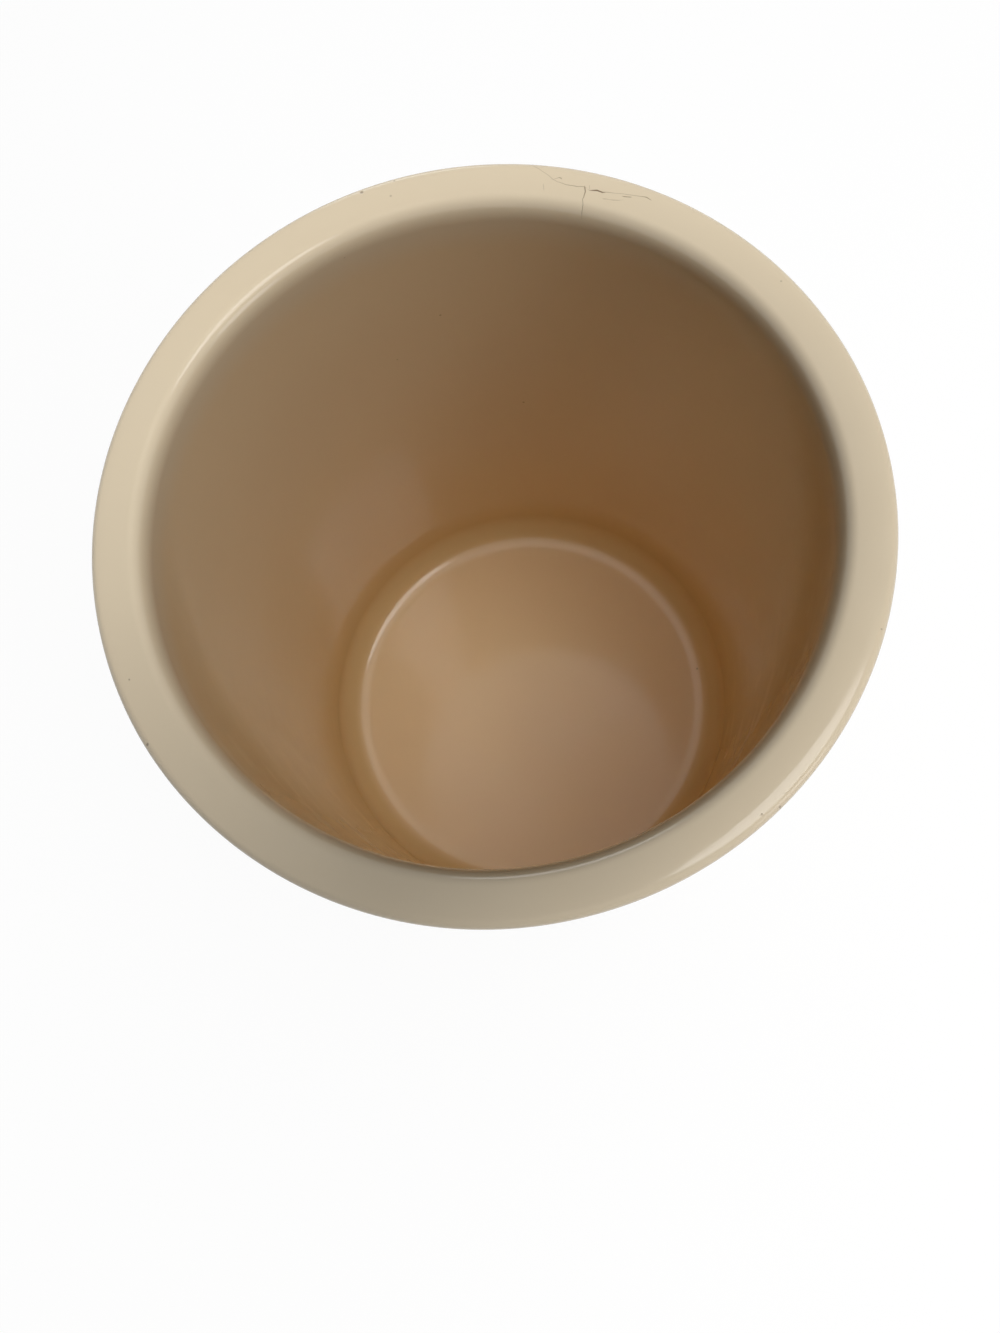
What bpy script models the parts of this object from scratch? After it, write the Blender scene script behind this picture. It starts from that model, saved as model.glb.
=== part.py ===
# An open ceramic storage jar: a fired clay body that stands on a bare foot ring, a glaze coat over its inside,
# rim and outside, and the glaze in the recess underneath.
# The origin is the middle of the base, on the surface that the jar stands on. +Z is up.

import math

import bpy

# Driving sizes of the jar, in metres, measured on the glaze
RIM_RADIUS = 0.060
JAR_HEIGHT = 0.157
RIM_WIDTH = 0.0083
WALL_WIDTH = 0.0065
FLOOR_THICKNESS = 0.0075
FLOOR_FILLET_REACH = 0.0084
FLOOR_FILLET_RISE = 0.006
RIM_OUTER_ROUND = 0.0015
RIM_INNER_ROUND = 0.0025
RIM_INNER_DROP = 0.0042
BASE_ROUND = 0.005

# The glaze, and the gap that keeps its solid apart from the clay
GLAZE_THICKNESS = 0.0005
GLAZE_GAP = 0.0003
GLAZE_LINE_ANGLE = math.radians(-72)

# The foot ring and the recess inside it
FOOT_RISE = 0.0015
FOOT_LEDGE = 0.0005
FOOT_WIDTH = 0.0045
FOOT_ROUND = 0.0008
RECESS_DEPTH = 0.002
RECESS_ROUND = 0.0012

# How finely the shapes are turned and rounded, and how late the inside wall starts to lean towards the mouth
TURN_STEPS = 64
FILLET_STEPS = 6
WALL_STEPS = 5
WALL_EASE = 3
ROUND_STEPS = 4
LIP_STEPS = 6
BEAD_STEPS = 4
WELD_DISTANCE = 0.00001

# Sizes that follow
QUARTER = math.pi / 2
MOUTH_RADIUS = RIM_RADIUS - RIM_WIDTH
WELL_RADIUS = RIM_RADIUS - WALL_WIDTH
FLOOR_HEIGHT = RECESS_DEPTH + FLOOR_THICKNESS
CLAY_DEPTH = GLAZE_THICKNESS + GLAZE_GAP
FOOT_RADIUS = RIM_RADIUS - BASE_ROUND - FOOT_LEDGE
RING_INNER_RADIUS = FOOT_RADIUS - FOOT_WIDTH
RECESS_CEILING = RECESS_DEPTH + CLAY_DEPTH

GLAZE_COLOUR = (0.72, 0.61, 0.44, 1)
GLAZE_ROUGHNESS = 0.12
CLAY_COLOUR = (0.66, 0.56, 0.43, 1)
CLAY_ROUGHNESS = 0.85


def arc(centre, radius, start, end, steps, height=None):
    """Points of the profile on a round corner, with both ends. A height of its own makes the corner an ellipse."""
    rise = radius if height is None else height
    angles = [start + (end - start) * step / steps for step in range(steps + 1)]
    return [(centre[0] + radius * math.cos(a), centre[1] + rise * math.sin(a)) for a in angles]


def leaning_wall(bottom, top):
    """Points of the inside wall between its two ends: it leans in towards the mouth, most of all near it."""
    shares = [step / WALL_STEPS for step in range(1, WALL_STEPS)]
    return [
        (bottom[0] + (top[0] - bottom[0]) * share**WALL_EASE, bottom[1] + (top[1] - bottom[1]) * share)
        for share in shares
    ]


def skin(depth, last_angle):
    """The jar's surface sunk by a depth: floor, inside wall, rim, outside wall and the start of the base."""
    fillet_centre = (WELL_RADIUS - FLOOR_FILLET_REACH, FLOOR_HEIGHT + FLOOR_FILLET_RISE)
    fillet_height = FLOOR_FILLET_RISE + depth
    fillet = arc(fillet_centre, FLOOR_FILLET_REACH + depth, -QUARTER, 0, FILLET_STEPS, fillet_height)
    lip_centre = (MOUTH_RADIUS + RIM_INNER_ROUND, JAR_HEIGHT - RIM_INNER_DROP)
    lip_height = RIM_INNER_DROP - depth
    lip = arc(lip_centre, RIM_INNER_ROUND - depth, 2 * QUARTER, QUARTER, LIP_STEPS, lip_height)
    outer_rim = (RIM_RADIUS - RIM_OUTER_ROUND, JAR_HEIGHT - RIM_OUTER_ROUND)
    base = (RIM_RADIUS - BASE_ROUND, FOOT_RISE + BASE_ROUND)
    return (
        [(0, FLOOR_HEIGHT - depth)]
        + fillet
        + leaning_wall(fillet[-1], lip[0])
        + lip
        + arc(outer_rim, RIM_OUTER_ROUND - depth, QUARTER, 0, ROUND_STEPS)
        + arc(base, BASE_ROUND - depth, 0, last_angle, ROUND_STEPS)
    )


def bead(last_front, last_back):
    """The rounded end of a glaze coat, from its front face over to its back face, without those two points."""
    middle = ((last_front[0] + last_back[0]) / 2, (last_front[1] + last_back[1]) / 2)
    across = (last_front[0] - middle[0], last_front[1] - middle[1])
    turns = [-math.pi * step / BEAD_STEPS for step in range(1, BEAD_STEPS)]
    return [
        (
            middle[0] + across[0] * math.cos(t) - across[1] * math.sin(t),
            middle[1] + across[0] * math.sin(t) + across[1] * math.cos(t),
        )
        for t in turns
    ]


def glaze_coat_profile():
    """The coat from the middle of the floor to the glaze line above the foot, and back under itself."""
    front = skin(0, GLAZE_LINE_ANGLE)
    back = skin(GLAZE_THICKNESS, GLAZE_LINE_ANGLE)
    return front + bead(front[-1], back[-1]) + back[::-1]


def foot_ring():
    """The bare ring, from the ledge under the base round to the recess ceiling inside it."""
    outer = (FOOT_RADIUS - FOOT_ROUND, FOOT_ROUND)
    inner = (RING_INNER_RADIUS + FOOT_ROUND, FOOT_ROUND)
    recess = (RING_INNER_RADIUS - RECESS_ROUND, RECESS_CEILING - RECESS_ROUND)
    return (
        [(FOOT_RADIUS, FOOT_RISE + CLAY_DEPTH)]
        + arc(outer, FOOT_ROUND, 0, -QUARTER, ROUND_STEPS)
        + arc(inner, FOOT_ROUND, -QUARTER, -2 * QUARTER, ROUND_STEPS)
        + arc(recess, RECESS_ROUND, 0, QUARTER, ROUND_STEPS)
    )


def clay_body_profile():
    """The clay under the glaze, then the foot ring and the recess."""
    return skin(CLAY_DEPTH, -QUARTER) + foot_ring() + [(0, RECESS_CEILING)]


def underside_glaze_profile():
    """A thin round pool of glaze against the recess ceiling, up to where its corner starts to round."""
    edge = RING_INNER_RADIUS - RECESS_ROUND
    back = (edge, RECESS_DEPTH + GLAZE_THICKNESS)
    front = (edge, RECESS_DEPTH)
    return [(0, back[1]), back] + bead(back, front) + [front, (0, front[1])]


def ceramic(name, colour, roughness):
    """An opaque, non-metallic fired surface."""
    material = bpy.data.materials.new(name)
    material.use_nodes = True
    material.diffuse_color = colour
    shader = material.node_tree.nodes["Principled BSDF"]
    shader.inputs["Base Color"].default_value = colour
    shader.inputs["Roughness"].default_value = roughness
    shader.inputs["Metallic"].default_value = 0
    return material


def turned(name, profile, material, jar, collection):
    """A solid of revolution about the jar's axis: its profile as edges, and a Screw that turns them."""
    mesh = bpy.data.meshes.new(name)
    points = [(radius, 0, height) for radius, height in profile]
    mesh.from_pydata(points, [(i, i + 1) for i in range(len(points) - 1)], [])
    mesh.materials.append(material)
    piece = bpy.data.objects.new(name, mesh)
    piece.parent = jar
    collection.objects.link(piece)
    screw = piece.modifiers.new("turn", "SCREW")
    screw.axis = "Z"
    screw.angle = math.tau
    screw.steps = TURN_STEPS
    screw.render_steps = TURN_STEPS
    screw.use_smooth_shade = True
    screw.use_merge_vertices = True
    screw.merge_threshold = WELD_DISTANCE
    return piece


def clear_scene():
    """Takes away what the startup file holds."""
    for obj in list(bpy.data.objects):
        bpy.data.objects.remove(obj, do_unlink=True)


def build_jar():
    """Makes the jar's pieces, each in its own object under one empty at the origin."""
    clear_scene()
    collection = bpy.data.collections.new("storage_jar")
    bpy.context.scene.collection.children.link(collection)
    jar = bpy.data.objects.new("storage_jar_origin", None)
    collection.objects.link(jar)
    clay = ceramic("fired_clay", CLAY_COLOUR, CLAY_ROUGHNESS)
    glaze = ceramic("cream_glaze", GLAZE_COLOUR, GLAZE_ROUGHNESS)
    turned("clay_body", clay_body_profile(), clay, jar, collection)
    turned("glaze_coat", glaze_coat_profile(), glaze, jar, collection)
    turned("underside_glaze", underside_glaze_profile(), glaze, jar, collection)


build_jar()
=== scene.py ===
import math

import bmesh
import bpy
from bpy.props import FloatProperty, FloatVectorProperty, IntProperty, PointerProperty
from mathutils import Matrix, Vector, noise


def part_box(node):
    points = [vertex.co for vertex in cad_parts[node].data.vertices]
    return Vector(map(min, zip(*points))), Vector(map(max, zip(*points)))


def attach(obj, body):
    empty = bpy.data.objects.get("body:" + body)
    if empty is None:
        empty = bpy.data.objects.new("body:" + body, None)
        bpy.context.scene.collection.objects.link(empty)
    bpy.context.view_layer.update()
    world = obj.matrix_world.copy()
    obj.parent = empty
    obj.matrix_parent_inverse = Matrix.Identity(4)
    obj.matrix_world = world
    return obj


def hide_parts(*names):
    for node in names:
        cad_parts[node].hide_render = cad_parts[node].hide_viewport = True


bl_info = {
    "name": "Glazed storage jar",
    "version": (1, 0, 0),
    "blender": (4, 5, 0),
    "location": "3D View > Sidebar > Jar",
    "description": "Dresses an open, glazed storage jar and sets up its studio",
    "category": "Add Mesh",
}

QUARTER = math.pi / 2
MM = 0.001
WELD_DISTANCE = MM / 100

# Faces along each part of the turned profiles, from the middle of the floor to the foot
FLOOR_STEPS = 12
FILLET_STEPS = 20
WALL_STEPS = 30
LIP_STEPS = 16
RIM_STEPS = 4
OUTER_ROUND_STEPS = 6
OUTSIDE_STEPS = 16
BASE_ROUND_STEPS = 6
FOOT_ROUND_STEPS = 6
BEAD_STEPS = 8
RECESS_STEPS = 12

# Glass, camera, stage and bounces of light
GLASS_IOR = 1.5
SENSOR_WIDTH = 36
CARD_CORNER_STEPS = 8
STUDIO_FLOOR_SIDES = 96
DIFFUSE_BOUNCES = 12
ALL_BOUNCES = 16

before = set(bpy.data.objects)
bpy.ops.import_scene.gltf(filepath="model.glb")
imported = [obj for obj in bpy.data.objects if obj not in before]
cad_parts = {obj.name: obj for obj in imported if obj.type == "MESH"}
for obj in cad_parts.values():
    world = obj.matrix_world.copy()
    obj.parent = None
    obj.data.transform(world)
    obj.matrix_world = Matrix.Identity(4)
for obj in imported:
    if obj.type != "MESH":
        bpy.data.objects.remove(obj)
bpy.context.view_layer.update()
COAT_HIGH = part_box("glaze_coat")[1]


def length(name, default, description):
    """A size in metres."""
    return FloatProperty(
        name=name, description=description, default=default, min=0, precision=5, unit="LENGTH"
    )


def share(name, default, description):
    """A share from 0 to 1."""
    return FloatProperty(name=name, description=description, default=default, min=0, max=1, subtype="FACTOR")


def angle(name, default, description):
    """An angle, given here in degrees."""
    return FloatProperty(name=name, description=description, default=math.radians(default), unit="ROTATION")


def number(name, default, description):
    """A plain strength."""
    return FloatProperty(name=name, description=description, default=default, min=0)


def colour(name, default, description):
    """A linear colour."""
    return FloatVectorProperty(
        name=name, description=description, default=default, size=3, min=0, max=1, subtype="COLOR"
    )


def place(name, default, description):
    """A point in metres."""
    return FloatVectorProperty(name=name, description=description, default=default, size=3, unit="LENGTH")


class JarForm(bpy.types.PropertyGroup):
    """The jar's own sizes, measured on the glaze, as its frame has them."""

    radius: length("Radius", COAT_HIGH.x, "Outside of the rim and wall")
    height: length("Height", COAT_HIGH.z, "From the foot to the top of the rim")
    rim_width: length("Rim width", 0.0083, "Across the rim, from the mouth to the outside")
    wall_width: length("Wall width", 0.0065, "Through the wall above the floor")
    wall_ease: number("Wall ease", 3.0, "How late the inside wall starts to lean towards the mouth")
    floor_height: length("Floor height", 0.0095, "From the foot to the glazed floor")
    fillet_reach: length("Floor fillet reach", 0.0080, "How far the corner below the wall comes in")
    fillet_rise: length("Floor fillet rise", 0.0085, "How far that corner reaches up the wall")
    fillet_power: number("Floor fillet power", 2.2, "2 makes it an ellipse, and more eases its ends in")
    outer_round: length("Rim outer round", 0.0015, "Round on the rim's outer edge")
    inner_round: length("Rim inner round", 0.0025, "How far the lip's round reaches across the rim")
    inner_drop: length("Rim inner drop", 0.0042, "How far the lip's round reaches down the wall")
    inner_power: number("Rim inner power", 2.2, "2 makes it an ellipse, and more eases its ends in")
    marked_drop: length("Marked drop", 0.0025, "How far below the rim's top its cracks and nicks may show")
    crown: length("Rim crown", 0.00006, "How much lower the rim's top is at its edges than in its middle")
    base_round: length("Base round", 0.005, "Round at the bottom of the wall")
    glaze_thickness: length("Glaze thickness", 0.0005, "Through the coat")
    glaze_gap: length("Glaze gap", 0.0003, "Between the coat and the clay")
    glaze_line: angle("Glaze line", -72, "Where the coat stops on the base round")
    foot_rise: length("Foot rise", 0.0015, "From the surface it stands on up to the base round")
    foot_ledge: length("Foot ledge", 0.0005, "Bare step between the base round and the foot ring")
    foot_width: length("Foot width", 0.0045, "Across the foot ring")
    foot_round: length("Foot round", 0.0008, "Round on the foot ring's edges")
    recess_depth: length("Recess depth", 0.002, "Depth of the glazed recess under the jar")
    recess_round: length("Recess round", 0.0012, "Round in the recess corner")
    turn_steps: IntProperty(name="Turn steps", description="Faces around the jar", default=360, min=32)
    unevenness: length("Unevenness", 0.00012, "Depth of the soft hollows that shaping leaves")
    uneven_cell: length("Uneven cell", 0.03, "Breadth of those hollows")


class GlazeLook(bpy.types.PropertyGroup):
    """The cream glaze."""

    body: colour("Glaze", (0.72, 0.605, 0.43), "Cream of the glaze on the rim and outside")
    # Inside glaze: a deeper, more saturated copy of the cream, painted for the shade inside the jar
    inside: colour("Inside glaze", (0.73, 0.575, 0.37), "Where it stands a little thicker, inside")
    # Pooled glaze: darker and browner low on the wall and in the corner, partly glaze gathered there and
    # partly painted shade of the deep corner
    pooled_and_shade: colour("Pooled glaze", (0.735, 0.53, 0.265), "Where it gathered, low on the wall and below it")
    pooled_and_shade_height: share("Pooled height", 0.7, "Share of the jar's height below which it starts to gather")
    # Floor glaze: a lighter copy of the cream on the jar's floor, painted light where light from the mouth
    # falls; its start and end set where that painted light fades across the corner
    floor: colour("Floor glaze", (0.84, 0.64, 0.375), "Where it lies even, on the floor")
    floor_light_start: share("Floor start", 0.25, "Share of the corner's reach where the floor's tone starts to go")
    floor_light_end: share("Floor end", 0.65, "Share of the corner's reach where the floor's tone is gone")
    cloud: share("Clouding", 0.06, "How much deeper the glaze is in its thicker clouds")
    cloud_cell: length("Cloud cell", 0.03, "Breadth of those clouds")
    cloud_contrast: number("Cloud contrast", 1.6, "How much they stand out from each other")
    crack: colour("Crack", (0.20, 0.125, 0.065), "Dirt held in the hairline cracks")
    crack_width: length("Crack width", 0.0002, "Half width of the widest hairline")
    crack_wander: length("Crack wander", 0.00025, "How far a hairline strays in small steps")
    speck: colour("Speck", (0.20, 0.14, 0.09), "Iron specks and pinholes")
    speck_tint: share("Speck tint", 0.5, "How much of its colour a speck shows through the glaze")
    speck_spacing: length("Speck spacing", 0.012, "Between the places that may have a speck")
    speck_size: length("Speck size", 0.00035, "Half width of a speck")
    speck_share: share("Speck share", 0.35, "Share of those places that have a speck")
    roughness: share("Roughness", 0.09, "Of the clean glass surface")
    rubbed: number("Rubbed", 1.8, "How many times rougher the most rubbed places are")
    rubbed_cell: length("Rubbed cell", 0.009, "Breadth of the rubbed places")
    rubbed_contrast: number("Rubbed contrast", 2.4, "How much they stand out from the clean glass")
    rubbed_start: share("Rubbed start", 0.35, "How strong rubbing is before it shows")
    relief: length("Relief", 0.00004, "Depth of the widest hairline, which the next three are shares of")
    ripple: share("Ripple", 0.35, "Height of the glass's fine ripple")
    speck_depth: share("Speck depth", 0.6, "Depth of a speck")
    nick_depth: number("Nick depth", 2.0, "Depth of a nick")
    ripple_cell: length("Ripple cell", 0.0035, "Breadth of the fine ripple")


class ClayLook(bpy.types.PropertyGroup):
    """The bare clay of the foot."""

    body: colour("Clay", (0.60, 0.49, 0.35), "Fired clay")
    toasted: colour("Toasted clay", (0.46, 0.31, 0.19), "Flashed edge beside the glaze")
    toasted_least: share("Toasted least", 0.3, "How toasted the flashed edge is at the least")
    toasted_spread: share("Toasted spread", 0.6, "How much more toasted it is in places")
    toasted_cell: length("Toasted cell", 0.006, "Breadth of those places")
    grit: colour("Grit", (0.24, 0.18, 0.13), "Dark grit in the clay")
    grit_tint: share("Grit tint", 0.7, "How much of its colour a grain of grit shows")
    grit_spacing: length("Grit spacing", 0.0016, "Between the places that may have a grain of grit")
    grit_size: length("Grit size", 0.00028, "Half width of a grain of grit")
    grit_share: share("Grit share", 0.3, "Share of those places that have a grain of grit")
    roughness: share("Roughness", 0.85, "Of the bare clay")
    relief: length("Relief", 0.00008, "Depth of the turning rings")
    ring_pitch: length("Ring pitch", 0.0005, "From one turning ring to the next")
    ring_wander: length("Ring wander", 0.0006, "How far the rings stray from round")
    grain: share("Grain", 0.6, "Height of the clay's grain, as a share of the rings' depth")
    grain_cell: length("Grain cell", 0.0003, "Breadth of that grain")
    contrast: number("Contrast", 2.0, "How much the toasted places and the grain stand out")


class Studio(bpy.types.PropertyGroup):
    """Camera, lamps, shade card and floor."""

    camera_place: place("Camera place", (0.0, -0.0587, 0.30054), "Where the camera stands")
    camera_aim: place("Camera aim", (-0.0060, 0.01253, 0.0095), "Point on the floor of the jar it looks at")
    camera_roll: angle("Camera roll", -18.57, "Turn of the picture about the line of sight")
    camera_pixels: number("Focal length", 1040.0, "Focal length in picture pixels")
    picture_height: number("Picture height", 1333.0, "Long side of the picture in pixels")
    floor_radius: length("Floor radius", 4.0, "Of the round studio floor")
    floor_colour: colour("Floor", (0.5, 0.5, 0.5), "Pale studio floor, as it lights the jar")
    floor_roughness: share("Floor roughness", 0.7, "Of the studio floor")
    floor_glow: share("Floor glow", 0.92, "Share of the floor's white that shadows leave, seen by the camera")
    fill: number("Fill", 0.05, "Even light from all round")
    lamp_distance: length("Lamp distance", 0.8, "From the mouth of the jar to each softbox")
    card_length: length("Card length", 0.128, "Long side of the card")
    card_width: length("Card width", 0.072, "Short side of the card")
    card_corner: length("Card corner", 0.012, "Round corners of the card")
    card_place: place("Card place", (0.0145, -0.0340, 0.245), "Middle of the card that shades the near rim")
    card_turn: angle("Card turn", 33.8, "Of its long side from the X axis")
    card_colour: colour("Card", (0.1, 0.1, 0.1), "Dark card")
    card_roughness: share("Card roughness", 0.8, "Of the card")


def eased(part, power):
    """A sine or cosine, drawn out towards its ends by a power above 2."""
    return math.copysign(abs(part) ** (2 / power), part)


def arc(centre, radius, start, end, steps, height=None, power=2.0):
    """Profile points on a round corner, with both ends. A height of its own makes the corner an ellipse."""
    rise = radius if height is None else height
    turns = [start + (end - start) * step / steps for step in range(steps + 1)]
    shares = [(eased(math.cos(turn), power), eased(math.sin(turn), power)) for turn in turns]
    return [(centre[0] + radius * across, centre[1] + rise * up) for across, up in shares]


def run(start, end, steps, ease=1):
    """Profile points between two others, without them. An ease above 1 leaves most of the lean to the end."""
    shares = [step / steps for step in range(1, steps)]
    return [(start[0] + (end[0] - start[0]) * s**ease, start[1] + (end[1] - start[1]) * s) for s in shares]


def rim_crown(form, radius):
    """How far the rim's top lies below its middle: a shallow arch, which runs on straight over the rounds."""
    inner = form.radius - form.rim_width + form.inner_round
    outer = form.radius - form.outer_round
    out = abs(2 * radius - inner - outer) / (outer - inner)
    return form.crown * (out * out if out < 1 else 2 * out - 1)


def jar_skin(form, depth, last_angle):
    """The jar's surface sunk by a depth: floor, fillet, inside wall, rim, outside wall and base round."""
    well = form.radius - form.wall_width
    mouth = form.radius - form.rim_width
    fillet = (well - form.fillet_reach, form.floor_height + form.fillet_rise)
    inner = (mouth + form.inner_round, form.height - form.inner_drop)
    outer = (form.radius - form.outer_round, form.height - form.outer_round)
    base = (form.radius - form.base_round, form.foot_rise + form.base_round)
    reach, rise = form.fillet_reach + depth, form.fillet_rise + depth
    across, drop = form.inner_round - depth, form.inner_drop - depth
    corners = [
        arc(fillet, reach, -QUARTER, 0, FILLET_STEPS, rise, form.fillet_power),
        arc(inner, across, 2 * QUARTER, QUARTER, LIP_STEPS, drop, form.inner_power),
        arc(outer, form.outer_round - depth, QUARTER, 0, OUTER_ROUND_STEPS),
        arc(base, form.base_round - depth, 0, last_angle, BASE_ROUND_STEPS),
    ]
    runs = [(FLOOR_STEPS, 1), (WALL_STEPS, form.wall_ease), (RIM_STEPS, 1), (OUTSIDE_STEPS, 1)]
    points = [(0, form.floor_height - depth)]
    for corner, (steps, ease) in zip(corners, runs):
        points += run(points[-1], corner[0], steps, ease) + corner
    below_lip = form.height - form.inner_drop - WELD_DISTANCE
    return [(radius, z - rim_crown(form, radius)) if z > below_lip else (radius, z) for radius, z in points]


def bead(front, back):
    """The rounded end of a coat, from its front face over to its back face, without those two points."""
    middle = ((front[0] + back[0]) / 2, (front[1] + back[1]) / 2)
    across = (front[0] - middle[0], front[1] - middle[1])
    turns = [-math.pi * step / BEAD_STEPS for step in range(1, BEAD_STEPS)]
    return [
        (
            middle[0] + across[0] * math.cos(t) - across[1] * math.sin(t),
            middle[1] + across[0] * math.sin(t) + across[1] * math.cos(t),
        )
        for t in turns
    ]


def turned(name, profile, steps, hollow=None):
    """A turned solid: a Screw spins the profile about the jar's axis, then hollows sink its points."""
    outline = bpy.data.meshes.new(name + "_profile")
    edges = [(first, first + 1) for first in range(len(profile) - 1)]
    outline.from_pydata([(radius, 0, height) for radius, height in profile], edges, [])
    guide = bpy.data.objects.new(name + "_guide", outline)
    bpy.context.scene.collection.objects.link(guide)
    screw = guide.modifiers.new("Turn", "SCREW")
    screw.axis = "Z"
    screw.angle = math.tau
    screw.steps = screw.render_steps = steps
    screw.use_smooth_shade = True
    screw.use_merge_vertices = True
    screw.merge_threshold = WELD_DISTANCE
    spun = guide.evaluated_get(bpy.context.evaluated_depsgraph_get())
    mesh = bpy.data.meshes.new_from_object(spun)
    bpy.data.objects.remove(guide)
    bm = bmesh.new()
    bm.from_mesh(mesh)
    bmesh.ops.recalc_face_normals(bm, faces=bm.faces[:])
    bm.normal_update()
    if hollow:
        sunk = [vert.co - vert.normal * hollow(vert.co) for vert in bm.verts]
        for vert, point in zip(bm.verts, sunk):
            vert.co = point
    bm.to_mesh(mesh)
    bm.free()
    mesh.name = name
    mesh.materials.clear()
    piece = bpy.data.objects.new(name, mesh)
    bpy.context.scene.collection.objects.link(piece)
    return piece


def stands_for(piece, node, material):
    """Gives a piece its material, and puts it in place of a node of the frame."""
    piece.data.materials.append(material)
    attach(piece, "root")
    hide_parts(node)


def feed(tree, socket, value):
    """Gives an input a value, or a link where the value is another node's output."""
    if isinstance(value, bpy.types.NodeSocket):
        tree.links.new(value, socket)
    else:
        socket.default_value = value


def add_node(tree, kind, values=None, **settings):
    """A node with its settings, and a value or a link for each input that is named or numbered."""
    made = tree.nodes.new(kind)
    for key, value in settings.items():
        setattr(made, key, value)
    for key, value in (values or {}).items():
        feed(tree, made.inputs[key], value)
    return made


def maths(tree, operation, first, second=0.0, clamp=False):
    """One step of arithmetic."""
    values = {0: first, 1: second}
    return add_node(tree, "ShaderNodeMath", values, operation=operation, use_clamp=clamp).outputs[0]


def vector_maths(tree, operation, first, second):
    """One step of arithmetic with vectors."""
    return add_node(tree, "ShaderNodeVectorMath", {0: first, 1: second}, operation=operation).outputs[0]


def axis_distance(tree, parts):
    """How far a point is from the jar's axis, from its three parts."""
    flat = add_node(tree, "ShaderNodeCombineXYZ", {0: parts[0], 1: parts[1]}).outputs[0]
    return add_node(tree, "ShaderNodeVectorMath", {0: flat}, operation="LENGTH").outputs["Value"]


def smooth_step(tree, value, low, high, at_low=0.0, at_high=1.0):
    """A soft step from one value to another."""
    values = {"Value": value, "From Min": low, "From Max": high, "To Min": at_low, "To Max": at_high}
    made = add_node(tree, "ShaderNodeMapRange", values, interpolation_type="SMOOTHSTEP", clamp=True)
    return made.outputs["Result"]


def mixed(tree, share_of_second, first, second):
    """A colour between two others."""
    made = add_node(tree, "ShaderNodeMix", data_type="RGBA", clamp_factor=True)
    wanted = [("Factor", "VALUE", share_of_second), ("A", "RGBA", first), ("B", "RGBA", second)]
    for name, kind, value in wanted:
        feed(tree, next(s for s in made.inputs if s.name == name and s.type == kind), value)
    return next(s for s in made.outputs if s.type == "RGBA")


def new_group(name, inputs, outputs):
    """A node group with its named sockets; inputs give (name, kind, default)."""
    tree = bpy.data.node_groups.new(name, "ShaderNodeTree")
    for label, kind, default in inputs:
        socket = tree.interface.new_socket(label, in_out="INPUT", socket_type=kind)
        if default is not None:
            socket.default_value = default
    for label, kind in outputs:
        tree.interface.new_socket(label, in_out="OUTPUT", socket_type=kind)
    entry = tree.nodes.new("NodeGroupInput")
    result = tree.nodes.new("NodeGroupOutput")
    return tree, entry.outputs, result.inputs


def use_group(tree, name, values):
    """Places a node group, with its values."""
    return add_node(tree, "ShaderNodeGroup", values, node_tree=bpy.data.node_groups[name]).outputs


FLOAT, VECTOR = "NodeSocketFloat", "NodeSocketVector"

# Fine settings of the textures: what share of a speck or hairline is dark right through, and how finely the
# noise is broken up
SPECK_CORE = 0.5
HAIRLINE_CORE = 0.3
CLOUD_DETAIL = 3.0
CLOUD_ROUGHNESS = 0.45
WANDER_SCALE = 700.0
WANDER_DETAIL = 2.0
RING_DRIFT_SCALE = 60.0
RING_DRIFT_DETAIL = 1.0
RING_DETAIL = 2.0


def clouding_group():
    """Slow variation from 0 to 1, as in the colour of a glaze or the height of a hand-smoothed wall."""
    tree, given, result = new_group(
        "Clouding",
        [("Vector", VECTOR, None), ("Cell", FLOAT, 0.02), ("Contrast", FLOAT, 1.0)],
        [("Value", FLOAT)],
    )
    scale = maths(tree, "DIVIDE", 1.0, given["Cell"])
    values = {"Vector": given["Vector"], "Scale": scale, "Detail": CLOUD_DETAIL, "Roughness": CLOUD_ROUGHNESS}
    made = add_node(tree, "ShaderNodeTexNoise", values)
    centred = maths(tree, "SUBTRACT", made.outputs["Fac"], 0.5)
    spread = maths(tree, "MULTIPLY", centred, given["Contrast"])
    tree.links.new(maths(tree, "ADD", spread, 0.5, clamp=True), result["Value"])


def specks_group():
    """Round specks scattered through a surface: their spacing, size, and the share of places with one."""
    tree, given, result = new_group(
        "Specks",
        [("Vector", VECTOR, None), ("Spacing", FLOAT, 0.01), ("Size", FLOAT, 0.0004), ("Share", FLOAT, 0.3)],
        [("Mask", FLOAT)],
    )
    scale = maths(tree, "DIVIDE", 1.0, given["Spacing"])
    cells = add_node(tree, "ShaderNodeTexVoronoi", {"Vector": given["Vector"], "Scale": scale})
    reach = maths(tree, "MULTIPLY", cells.outputs["Distance"], given["Spacing"])
    spot = maths(tree, "DIVIDE", reach, given["Size"])
    near = smooth_step(tree, spot, SPECK_CORE, 1.0, 1.0, 0.0)
    lot = add_node(tree, "ShaderNodeSeparateColor", {0: cells.outputs["Color"]})
    chosen = maths(tree, "LESS_THAN", lot.outputs[0], given["Share"])
    tree.links.new(maths(tree, "MULTIPLY", near, chosen), result["Mask"])


def rim_place_group():
    """Where a point is on the rim: its angle round the axis, and its share of the way across it."""
    tree, given, result = new_group(
        "Rim place",
        [("Vector", VECTOR, None), ("Mouth radius", FLOAT, 0.05), ("Rim width", FLOAT, 0.008)],
        [("Degrees", FLOAT), ("Across", FLOAT)],
    )
    parts = add_node(tree, "ShaderNodeSeparateXYZ", {0: given["Vector"]}).outputs
    turn = maths(tree, "ARCTAN2", parts[1], parts[0])
    tree.links.new(maths(tree, "MULTIPLY", turn, math.degrees(1)), result["Degrees"])
    inside = maths(tree, "SUBTRACT", axis_distance(tree, parts), given["Mouth radius"])
    tree.links.new(maths(tree, "DIVIDE", inside, given["Rim width"]), result["Across"])


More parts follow.
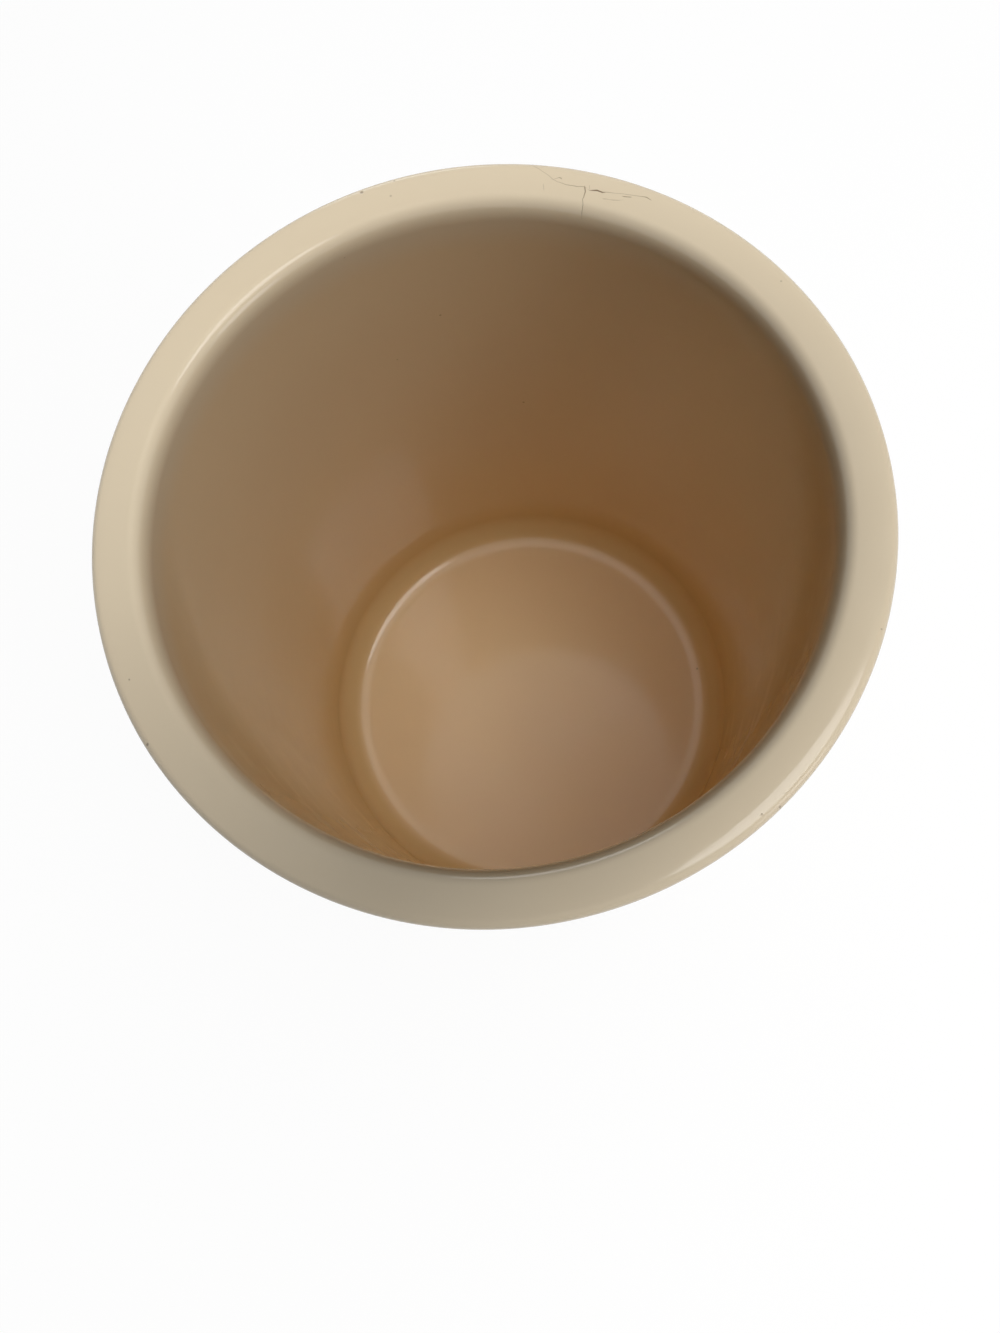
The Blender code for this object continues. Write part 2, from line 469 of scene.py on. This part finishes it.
def hairline_group():
    """How dark a hairline is at a distance from its middle, both in metres."""
    tree, given, result = new_group(
        "Hairline",
        [("Offset", FLOAT, 0.0), ("Width", FLOAT, 0.0001), ("Darkness", FLOAT, 1.0)],
        [("Mask", FLOAT)],
    )
    apart = maths(tree, "DIVIDE", maths(tree, "ABSOLUTE", given["Offset"]), given["Width"])
    near = smooth_step(tree, apart, HAIRLINE_CORE, 1.0, 1.0, 0.0)
    tree.links.new(maths(tree, "MULTIPLY", near, given["Darkness"]), result["Mask"])


def turning_group():
    """Fine rings that turning and wiping leave round the axis, from 0 to 1."""
    tree, given, result = new_group(
        "Turning rings",
        [("Vector", VECTOR, None), ("Pitch", FLOAT, 0.001), ("Wander", FLOAT, 0.0006)],
        [("Height", FLOAT)],
    )
    parts = add_node(tree, "ShaderNodeSeparateXYZ", {0: given["Vector"]}).outputs
    radius = axis_distance(tree, parts)
    values = {"Vector": given["Vector"], "Scale": RING_DRIFT_SCALE, "Detail": RING_DRIFT_DETAIL}
    drift = add_node(tree, "ShaderNodeTexNoise", values)
    moved = maths(tree, "MULTIPLY", drift.outputs["Fac"], given["Wander"])
    along = maths(tree, "ADD", maths(tree, "ADD", radius, parts[2]), moved)
    row = add_node(tree, "ShaderNodeCombineXYZ", {0: maths(tree, "DIVIDE", along, given["Pitch"])}).outputs[0]
    lines = add_node(tree, "ShaderNodeTexNoise", {"Vector": row, "Scale": 1.0, "Detail": RING_DETAIL})
    tree.links.new(lines.outputs["Fac"], result["Height"])


def rgba(value):
    """A colour with full alpha."""
    return (*value, 1.0)


# Hairlines that run round the rim: degrees round the axis, share of the way across, width as a share of the
# widest, and darkness
ROUND_LINES = [
    [
        (70.2, 0.94, 0.3, 0.0),
        (69.5, 0.91, 0.4, 0.3),
        (67.4, 0.76, 0.4, 0.35),
        (65.7, 0.62, 0.4, 0.4),
        (64.8, 0.57, 0.5, 0.3),
        (63.3, 0.54, 0.4, 0.5),
        (61.5, 0.535, 0.45, 0.6),
        (60.4, 0.56, 0.45, 0.55),
        (59.8, 0.53, 0.3, 0.0),
        (59.4, 0.50, 0.4, 0.5),
        (58.9, 0.52, 0.8, 0.9),
        (58.2, 0.54, 1.0, 1.0),
        (57.2, 0.53, 0.8, 0.9),
        (56.7, 0.55, 0.5, 0.5),
        (55.2, 0.59, 0.35, 0.35),
        (53.2, 0.635, 0.35, 0.4),
        (51.4, 0.68, 0.4, 0.45),
        (50.4, 0.71, 0.55, 0.65),
        (49.7, 0.70, 0.5, 0.5),
        (49.3, 0.69, 0.3, 0.0),
    ],
    [
        (66.1, 0.60, 0.3, 0.0),
        (65.5, 0.62, 0.35, 0.25),
        (64.7, 0.67, 0.5, 0.55),
        (64.3, 0.66, 0.6, 0.7),
        (64.1, 0.62, 0.3, 0.0),
        (57.0, 0.40, 0.3, 0.0),
        (56.6, 0.40, 0.45, 0.5),
        (55.8, 0.42, 0.35, 0.3),
        (55.0, 0.43, 0.45, 0.5),
        (54.1, 0.47, 0.3, 0.35),
        (53.3, 0.51, 0.3, 0.0),
    ],
    [
        (54.2, 0.56, 0.3, 0.0),
        (53.7, 0.57, 0.6, 0.7),
        (52.8, 0.60, 0.6, 0.6),
        (52.4, 0.61, 0.3, 0.0),
    ],
]
# Hairlines that run across the rim: the same, with the share of the way across before the degrees
CROSS_LINES = [
    [
        (0.04, 59.55, 0.25, 0.0),
        (0.10, 59.6, 0.35, 0.7),
        (0.22, 59.75, 0.35, 0.8),
        (0.30, 60.05, 0.35, 0.7),
        (0.34, 59.95, 0.6, 0.6),
        (0.45, 60.0, 0.7, 0.75),
        (0.55, 60.3, 0.7, 0.8),
        (0.59, 60.4, 0.5, 0.0),
    ],
    [(0.34, 66.7, 0.4, 0.0), (0.38, 66.8, 0.6, 0.2), (0.47, 67.0, 0.6, 0.25), (0.52, 67.0, 0.4, 0.0)],
    [(0.51, 59.4, 0.4, 0.0), (0.54, 59.45, 0.4, 0.3), (0.60, 59.6, 0.4, 0.3), (0.63, 59.6, 0.4, 0.0)],
]
# Small nicks on the rim: degrees, share of the way across, half width in millimetres, and darkness
NICKS = [
    (96.5, 0.84, 0.40, 0.7),
    (92.3, 0.55, 0.25, 0.35),
    (91.1, 0.87, 0.22, 0.5),
    (192.2, 0.67, 0.22, 0.5),
    (202.0, 0.90, 0.35, 0.7),
    (25.0, 0.74, 0.22, 0.35),
    (297.1, 0.84, 0.22, 0.4),
    (299.6, 0.96, 0.30, 0.5),
    (327.8, 0.89, 0.22, 0.4),
]
# What the strays of each kind of hairline are counted in: the whole way across, or these degrees
ACROSS_SPAN = (0, 1)
DEGREES_SPAN = (50, 70)


def share_curve(tree, position, points):
    """A value from 0 to 1 that follows given points along a line."""
    made = add_node(tree, "ShaderNodeFloatCurve", {"Value": position})
    knots = made.mapping.curves[0].points
    while len(knots) < len(points):
        knots.new(0.5, 0.5)
    for knot, (place_along, value) in zip(knots, points):
        knot.location = (place_along, value)
        knot.handle_type = "VECTOR"
    made.mapping.update()
    return made.outputs["Value"]


def rim_line(tree, along, aside, steps, aside_span, aside_length, width):
    """One hairline: it runs along one direction of the rim and strays in the other."""
    steps = sorted(steps)
    first, last = steps[0][0], steps[-1][0]
    values = {"Value": along, "From Min": first, "From Max": last}
    position = add_node(tree, "ShaderNodeMapRange", values, clamp=True).outputs["Result"]
    at = [(step[0] - first) / (last - first) for step in steps]
    low, high = aside_span
    strays = [(here, (step[1] - low) / (high - low)) for here, step in zip(at, steps)]
    middle = share_curve(tree, position, strays)
    own = maths(tree, "DIVIDE", maths(tree, "SUBTRACT", aside, low), high - low)
    offset = maths(tree, "MULTIPLY", maths(tree, "SUBTRACT", own, middle), (high - low) * aside_length)
    widths = share_curve(tree, position, [(here, step[2]) for here, step in zip(at, steps)])
    darkness = share_curve(tree, position, [(here, step[3]) for here, step in zip(at, steps)])
    values = {"Offset": offset, "Width": maths(tree, "MULTIPLY", widths, width), "Darkness": darkness}
    return use_group(tree, "Hairline", values)["Mask"]


def darkest(tree, masks):
    """The strongest of some masks."""
    found = masks[0]
    for mask in masks[1:]:
        found = maths(tree, "MAXIMUM", found, mask)
    return found


def rim_marks(tree, form, look, coords):
    """Masks of the hairlines and the nicks, on the top of the rim only."""
    mouth = form.radius - form.rim_width
    values = {"Vector": coords, "Scale": WANDER_SCALE, "Detail": WANDER_DETAIL}
    wander = add_node(tree, "ShaderNodeTexNoise", values).outputs["Color"]
    centred = vector_maths(tree, "SUBTRACT", wander, (0.5, 0.5, 0.5))
    values = {0: centred, "Scale": look.crack_wander}
    shift = add_node(tree, "ShaderNodeVectorMath", values, operation="SCALE").outputs[0]
    bent = vector_maths(tree, "ADD", coords, shift)
    here = use_group(tree, "Rim place", {"Vector": bent, "Mouth radius": mouth, "Rim width": form.rim_width})
    degrees, across = here["Degrees"], here["Across"]
    one_degree = math.radians(form.radius - form.rim_width / 2)
    lines = [
        rim_line(tree, degrees, across, steps, ACROSS_SPAN, form.rim_width, look.crack_width)
        for steps in ROUND_LINES
    ]
    lines += [
        rim_line(tree, across, degrees, steps, DEGREES_SPAN, one_degree, look.crack_width)
        for steps in CROSS_LINES
    ]
    level = vector_maths(tree, "MULTIPLY", bent, (1, 1, 0))
    nicks = []
    for degrees_round, reach, half_width, darkness in NICKS:
        turn = math.radians(degrees_round)
        radius = mouth + form.rim_width * reach
        point = Vector((radius * math.cos(turn), radius * math.sin(turn), 0))
        apart = add_node(tree, "ShaderNodeVectorMath", {0: level, 1: point}, operation="DISTANCE")
        values = {"Offset": apart.outputs["Value"], "Width": half_width * MM, "Darkness": darkness}
        nicks.append(use_group(tree, "Hairline", values)["Mask"])
    height = add_node(tree, "ShaderNodeSeparateXYZ", {0: coords}).outputs[2]
    lowest = form.height - form.marked_drop
    top = smooth_step(tree, height, lowest - form.marked_drop, lowest)
    return [maths(tree, "MULTIPLY", darkest(tree, masks), top) for masks in (lines, nicks)]


def shader_of(name):
    """A new material with its tree and its Principled shader."""
    material = bpy.data.materials.new(name)
    material.use_nodes = True
    return material, material.node_tree, material.node_tree.nodes["Principled BSDF"]


def bump(tree, shader, height, depth):
    """Feeds a height, in shares of a depth, to the shader's normal."""
    made = add_node(tree, "ShaderNodeBump", {"Height": height, "Strength": 1.0, "Distance": depth})
    tree.links.new(made.outputs["Normal"], shader.inputs["Normal"])


def clouding(tree, coords, cell, contrast):
    """Slow variation from 0 to 1, with clouds of a breadth and a contrast."""
    return use_group(tree, "Clouding", {"Vector": coords, "Cell": cell, "Contrast": contrast})["Value"]


def inside_painted_light(tree, form, look, coords):
    """Cream on the rim and outside; inside, a painted-shade copy that deepens low on the wall and in the
    corner, where glaze also gathers, and painted light on the floor.
    """
    parts = add_node(tree, "ShaderNodeSeparateXYZ", {0: coords}).outputs
    radius = axis_distance(tree, parts)
    within = maths(tree, "LESS_THAN", radius, form.radius - form.wall_width / 2)
    lip = form.height - form.inner_drop
    low = smooth_step(tree, parts[2], lip - 2 * form.inner_drop, lip, 1.0, 0.0)
    corner_top = form.floor_height + form.fillet_rise
    # Painted shade, with gathered glaze: the inside tone goes over to the darker one low on the wall
    gathered = smooth_step(tree, parts[2], corner_top, form.height * look.pooled_and_shade_height, 1.0, 0.0)
    lining_shade_and_light = mixed(tree, gathered, rgba(look.inside), rgba(look.pooled_and_shade))
    floor_edge = form.radius - form.wall_width - form.fillet_reach
    start, end = (floor_edge + part * form.fillet_reach for part in (look.floor_light_start, look.floor_light_end))
    # Painted light: the lighter floor tone, fading out across the floor's corner
    even = smooth_step(tree, radius, start, end, 1.0, 0.0)
    lining_shade_and_light = mixed(tree, even, lining_shade_and_light, rgba(look.floor))
    return mixed(tree, maths(tree, "MULTIPLY", within, low), rgba(look.body), lining_shade_and_light)


def glaze_material(name, form, look, marked):
    """Glossy cream glaze with slow clouding, specks and, on the coat, the rim's cracks and nicks."""
    material, tree, shader = shader_of(name)
    coords = add_node(tree, "ShaderNodeTexCoord").outputs["Object"]
    # Painted shade inside the jar and painted light on its floor, over the cream
    tone = inside_painted_light(tree, form, look, coords)
    cloud = clouding(tree, coords, look.cloud_cell, look.cloud_contrast)
    # A cloud takes the glaze's colour twice, as light does that goes through it twice
    deep = [channel * channel for channel in look.inside]
    tone = mixed(tree, maths(tree, "MULTIPLY", cloud, look.cloud), tone, rgba(deep))
    values = {"Spacing": look.speck_spacing, "Size": look.speck_size, "Share": look.speck_share}
    specks = use_group(tree, "Specks", {"Vector": coords, **values})["Mask"]
    tone = mixed(tree, maths(tree, "MULTIPLY", specks, look.speck_tint), tone, rgba(look.speck))
    height = maths(tree, "MULTIPLY", clouding(tree, coords, look.ripple_cell, 1.0), look.ripple)
    height = maths(tree, "SUBTRACT", height, maths(tree, "MULTIPLY", specks, look.speck_depth))
    if marked:
        cracks, nicks = rim_marks(tree, form, look, coords)
        tone = mixed(tree, cracks, tone, rgba(look.crack))
        tone = mixed(tree, nicks, tone, rgba(look.speck))
        height = maths(tree, "SUBTRACT", height, cracks)
        height = maths(tree, "SUBTRACT", height, maths(tree, "MULTIPLY", nicks, look.nick_depth))
    tree.links.new(tone, shader.inputs["Base Color"])
    rub = clouding(tree, coords, look.rubbed_cell, look.rubbed_contrast)
    gloss = smooth_step(tree, rub, look.rubbed_start, 1.0, look.roughness, look.roughness * look.rubbed)
    tree.links.new(gloss, shader.inputs["Roughness"])
    shader.inputs["IOR"].default_value = GLASS_IOR
    bump(tree, shader, height, look.relief)
    return material


def clay_material(form, look):
    """Bare fired clay with grit and turning rings, toasted beside the glaze."""
    material, tree, shader = shader_of("bare_clay")
    coords = add_node(tree, "ShaderNodeTexCoord").outputs["Object"]
    height_here = add_node(tree, "ShaderNodeSeparateXYZ", {0: coords}).outputs[2]
    flash = smooth_step(tree, height_here, form.foot_rise, form.foot_rise + form.recess_depth)
    cloud = clouding(tree, coords, look.toasted_cell, look.contrast)
    uneven = maths(tree, "ADD", maths(tree, "MULTIPLY", cloud, look.toasted_spread), look.toasted_least)
    toast = maths(tree, "MULTIPLY", flash, uneven)
    tone = mixed(tree, toast, rgba(look.body), rgba(look.toasted))
    values = {"Spacing": look.grit_spacing, "Size": look.grit_size, "Share": look.grit_share}
    grit = use_group(tree, "Specks", {"Vector": coords, **values})["Mask"]
    tone = mixed(tree, maths(tree, "MULTIPLY", grit, look.grit_tint), tone, rgba(look.grit))
    tree.links.new(tone, shader.inputs["Base Color"])
    values = {"Vector": coords, "Pitch": look.ring_pitch, "Wander": look.ring_wander}
    rings = use_group(tree, "Turning rings", values)["Height"]
    grain = clouding(tree, coords, look.grain_cell, look.contrast)
    rough = maths(tree, "ADD", maths(tree, "MULTIPLY", grain, look.grain), rings)
    shader.inputs["Roughness"].default_value = look.roughness
    bump(tree, shader, rough, look.relief)
    return material


# White softboxes: azimuth and elevation in degrees, half the angle each one fills, its radiance, and whether
# the gloss shows it
SOFTBOXES = {
    "ceiling_softbox": (0, 90, 18, 3.9, False),
    "near_softbox": (-90, 62, 16, 1.4, False),
    "near_right_softbox": (-60, 62, 16, 1.8, False),
    "right_softbox": (-34, 61, 15, 3.7, True),
    "far_right_softbox": (30, 62, 16, 3.4, False),
    "low_softbox": (-45, 38, 14, 2.7, False),
    "far_window": (90, 15, 10, 2.1, True),
    "near_right_window": (-45, 15, 10, 2.0, True),
}


def make_softboxes(studio, form):
    """Round soft lamps on a dome round the mouth of the jar, all facing it."""
    mouth = Vector((0, 0, form.height))
    for name, (azimuth, elevation, half_angle, radiance, in_gloss) in SOFTBOXES.items():
        lamp = bpy.data.lights.new(name, "AREA")
        lamp.shape = "DISK"
        lamp.size = 2 * studio.lamp_distance * math.tan(math.radians(half_angle))
        # A lamp of one radiance all over gives pi times its area of it
        lamp.energy = radiance * math.pi * math.pi * lamp.size * lamp.size / 4
        turn, lift = math.radians(azimuth), math.radians(elevation)
        away = Vector((math.cos(lift) * math.cos(turn), math.cos(lift) * math.sin(turn), math.sin(lift)))
        softbox = bpy.data.objects.new(name, lamp)
        softbox.visible_glossy = in_gloss
        softbox.location = mouth + studio.lamp_distance * away
        softbox.rotation_euler = away.to_track_quat("Z", "Y").to_euler()
        bpy.context.scene.collection.objects.link(softbox)


def make_camera(studio):
    """The camera, looking down into the jar from above its near rim."""
    lens = bpy.data.cameras.new("camera")
    lens.sensor_fit = "AUTO"
    lens.sensor_width = SENSOR_WIDTH
    lens.lens = lens.sensor_width * studio.camera_pixels / studio.picture_height
    lens.clip_start = MM
    camera = bpy.data.objects.new("camera", lens)
    sight = Vector(studio.camera_aim) - Vector(studio.camera_place)
    turn = sight.to_track_quat("-Z", "Y") @ Matrix.Rotation(studio.camera_roll, 4, "Z").to_quaternion()
    camera.location = studio.camera_place
    camera.rotation_mode = "QUATERNION"
    camera.rotation_quaternion = turn
    bpy.context.scene.collection.objects.link(camera)
    bpy.context.scene.camera = camera


def seen(tree):
    """1 for what the camera, the gloss and glass see, and 0 for what only lights the jar."""
    path = add_node(tree, "ShaderNodeLightPath").outputs
    direct = maths(tree, "ADD", path["Is Camera Ray"], path["Is Glossy Ray"])
    return maths(tree, "ADD", direct, path["Is Transmission Ray"], clamp=True)


def floor_material(studio):
    """A pale floor that the camera and the gloss see as white, with the jar's shadow kept."""
    material, tree, shader = shader_of("studio_floor")
    shader.inputs["Base Color"].default_value = rgba(studio.floor_colour)
    shader.inputs["Roughness"].default_value = studio.floor_roughness
    left = 1.0 - studio.floor_glow
    glow = add_node(tree, "ShaderNodeEmission", {"Color": (1, 1, 1, 1), "Strength": studio.floor_glow})
    shade = add_node(tree, "ShaderNodeBsdfDiffuse", {"Color": (left, left, left, 1)})
    white = add_node(tree, "ShaderNodeAddShader", {0: glow.outputs[0], 1: shade.outputs[0]})
    values = {0: seen(tree), 1: shader.outputs[0], 2: white.outputs[0]}
    both = add_node(tree, "ShaderNodeMixShader", values)
    tree.links.new(both.outputs[0], tree.nodes["Material Output"].inputs["Surface"])
    return material


def make_card(studio):
    """A level dark card with round corners, which shades the near side of the rim."""
    corner = studio.card_corner
    along, across = studio.card_length / 2 - corner, studio.card_width / 2 - corner
    middles = ((along, across), (-along, across), (-along, -across), (along, -across))
    bm = bmesh.new()
    outline = []
    for quarter, middle in enumerate(middles):
        turn = quarter * QUARTER
        outline += arc(middle, corner, turn, turn + QUARTER, CARD_CORNER_STEPS)
    bm.faces.new([bm.verts.new((x, y, 0)) for x, y in outline])
    mesh = bpy.data.meshes.new("shade_card")
    bm.to_mesh(mesh)
    bm.free()
    material, _, shader = shader_of("dark_card")
    shader.inputs["Base Color"].default_value = rgba(studio.card_colour)
    shader.inputs["Roughness"].default_value = studio.card_roughness
    mesh.materials.append(material)
    card = bpy.data.objects.new("shade_card", mesh)
    card.location = studio.card_place
    card.rotation_euler.z = studio.card_turn
    card.visible_camera = False
    card.visible_glossy = False
    bpy.context.scene.collection.objects.link(card)


def make_floor(studio):
    """A wide, level floor under the jar."""
    bm = bmesh.new()
    bmesh.ops.create_circle(bm, cap_ends=True, radius=studio.floor_radius, segments=STUDIO_FLOOR_SIDES)
    mesh = bpy.data.meshes.new("studio_floor")
    bm.to_mesh(mesh)
    bm.free()
    floor = bpy.data.objects.new("studio_floor", mesh)
    mesh.materials.append(floor_material(studio))
    bpy.context.scene.collection.objects.link(floor)


def make_world(studio):
    """White to the camera and the gloss, and a weak even fill for the rest."""
    world = bpy.data.worlds.new("studio_world")
    world.use_nodes = True
    tree = world.node_tree
    strength = maths(tree, "ADD", maths(tree, "MULTIPLY", seen(tree), 1.0 - studio.fill), studio.fill)
    background = tree.nodes["Background"]
    background.inputs["Color"].default_value = (1, 1, 1, 1)
    tree.links.new(strength, background.inputs["Strength"])
    bpy.context.scene.world = world


class JAR_OT_glaze_coat(bpy.types.Operator):
    """Makes the glaze coat at full fineness, with the soft unevenness of a shaped pot"""

    bl_idname = "jar.glaze_coat"
    bl_label = "Glaze coat"

    def execute(self, context):
        form, look = context.scene.jar_form, context.scene.jar_glaze
        front = jar_skin(form, 0, form.glaze_line)
        back = jar_skin(form, form.glaze_thickness, form.glaze_line)
        profile = front + bead(front[-1], back[-1]) + back[::-1]

        def hollow(point):
            return form.unevenness * (0.5 + 0.5 * noise.noise(point / form.uneven_cell))

        coat = turned("glaze_coat_fine", profile, form.turn_steps, hollow)
        stands_for(coat, "glaze_coat", glaze_material("plain_cream", form, look, False))
        coat.data.materials.append(glaze_material("rim_cream", form, look, True))
        for face in coat.data.polygons:
            face.material_index = int(face.center.z > form.height - form.marked_drop)
        return {"FINISHED"}


class JAR_OT_clay_body(bpy.types.Operator):
    """Makes the clay body with its bare foot ring"""

    bl_idname = "jar.clay_body"
    bl_label = "Clay body"

    def execute(self, context):
        form, look = context.scene.jar_form, context.scene.jar_clay
        depth = form.glaze_thickness + form.glaze_gap
        ring_radius = form.radius - form.base_round - form.foot_ledge
        inner_radius = ring_radius - form.foot_width
        ceiling = form.recess_depth + depth
        outer = (ring_radius - form.foot_round, form.foot_round)
        inner = (inner_radius + form.foot_round, form.foot_round)
        recess = (inner_radius - form.recess_round, ceiling - form.recess_round)
        profile = (
            jar_skin(form, depth, -QUARTER)
            + [(ring_radius, form.foot_rise + depth)]
            + arc(outer, form.foot_round, 0, -QUARTER, FOOT_ROUND_STEPS)
            + arc(inner, form.foot_round, -QUARTER, -2 * QUARTER, FOOT_ROUND_STEPS)
            + arc(recess, form.recess_round, 0, QUARTER, FOOT_ROUND_STEPS)
            + [(0, ceiling)]
        )
        body = turned("clay_body_fine", profile, form.turn_steps)
        stands_for(body, "clay_body", clay_material(form, look))
        return {"FINISHED"}


class JAR_OT_underside_glaze(bpy.types.Operator):
    """Makes the thin pool of glaze in the recess under the jar"""

    bl_idname = "jar.underside_glaze"
    bl_label = "Underside glaze"

    def execute(self, context):
        form, look = context.scene.jar_form, context.scene.jar_glaze
        edge = form.radius - form.base_round - form.foot_ledge - form.foot_width - form.recess_round
        back = (edge, form.recess_depth + form.glaze_thickness)
        front = (edge, form.recess_depth)
        top, bottom = (0, back[1]), (0, front[1])
        profile = [top] + run(top, back, RECESS_STEPS) + [back]
        profile += bead(back, front) + [front] + run(front, bottom, RECESS_STEPS) + [bottom]
        pool = turned("underside_glaze_fine", profile, form.turn_steps)
        glaze = glaze_material("underside_cream", form, look, False)
        stands_for(pool, "underside_glaze", glaze)
        return {"FINISHED"}


class JAR_OT_studio(bpy.types.Operator):
    """Sets the floor, the fill light, the camera, the shade card and the softboxes"""

    bl_idname = "jar.studio"
    bl_label = "Studio"

    def execute(self, context):
        studio, form = context.scene.jar_studio, context.scene.jar_form
        scene = context.scene
        scene.view_settings.view_transform = "Standard"
        scene.cycles.diffuse_bounces = DIFFUSE_BOUNCES
        scene.cycles.max_bounces = ALL_BOUNCES
        make_floor(studio)
        make_world(studio)
        make_camera(studio)
        make_card(studio)
        make_softboxes(studio, form)
        return {"FINISHED"}


class JAR_PT_sidebar(bpy.types.Panel):
    """Lists the jar's pieces and its studio"""

    bl_idname = "JAR_PT_sidebar"
    bl_label = "Storage jar"
    bl_space_type = "VIEW_3D"
    bl_region_type = "UI"
    bl_category = "Jar"

    def draw(self, context):
        for operator in OPERATORS:
            self.layout.operator(operator.bl_idname)
        for group in GROUPS:
            holder = getattr(context.scene, group)
            box = self.layout.box()
            for key in holder.__annotations__:
                box.prop(holder, key)


GROUPS = {"jar_form": JarForm, "jar_glaze": GlazeLook, "jar_clay": ClayLook, "jar_studio": Studio}
OPERATORS = (JAR_OT_glaze_coat, JAR_OT_clay_body, JAR_OT_underside_glaze, JAR_OT_studio)
CLASSES = (*GROUPS.values(), *OPERATORS, JAR_PT_sidebar)


def register():
    """Adds the classes and the scene's settings."""
    for item in CLASSES:
        bpy.utils.register_class(item)
    for name, group in GROUPS.items():
        setattr(bpy.types.Scene, name, PointerProperty(type=group))


def unregister():
    """Takes them away again."""
    for name in GROUPS:
        delattr(bpy.types.Scene, name)
    for item in reversed(CLASSES):
        bpy.utils.unregister_class(item)


def main():
    """Registers the add-on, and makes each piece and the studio."""
    register()
    for build_group in (clouding_group, specks_group, rim_place_group, hairline_group, turning_group):
        build_group()
    bpy.ops.jar.glaze_coat()
    bpy.ops.jar.clay_body()
    bpy.ops.jar.underside_glaze()
    bpy.ops.jar.studio()


if __name__ == "__main__":
    main()
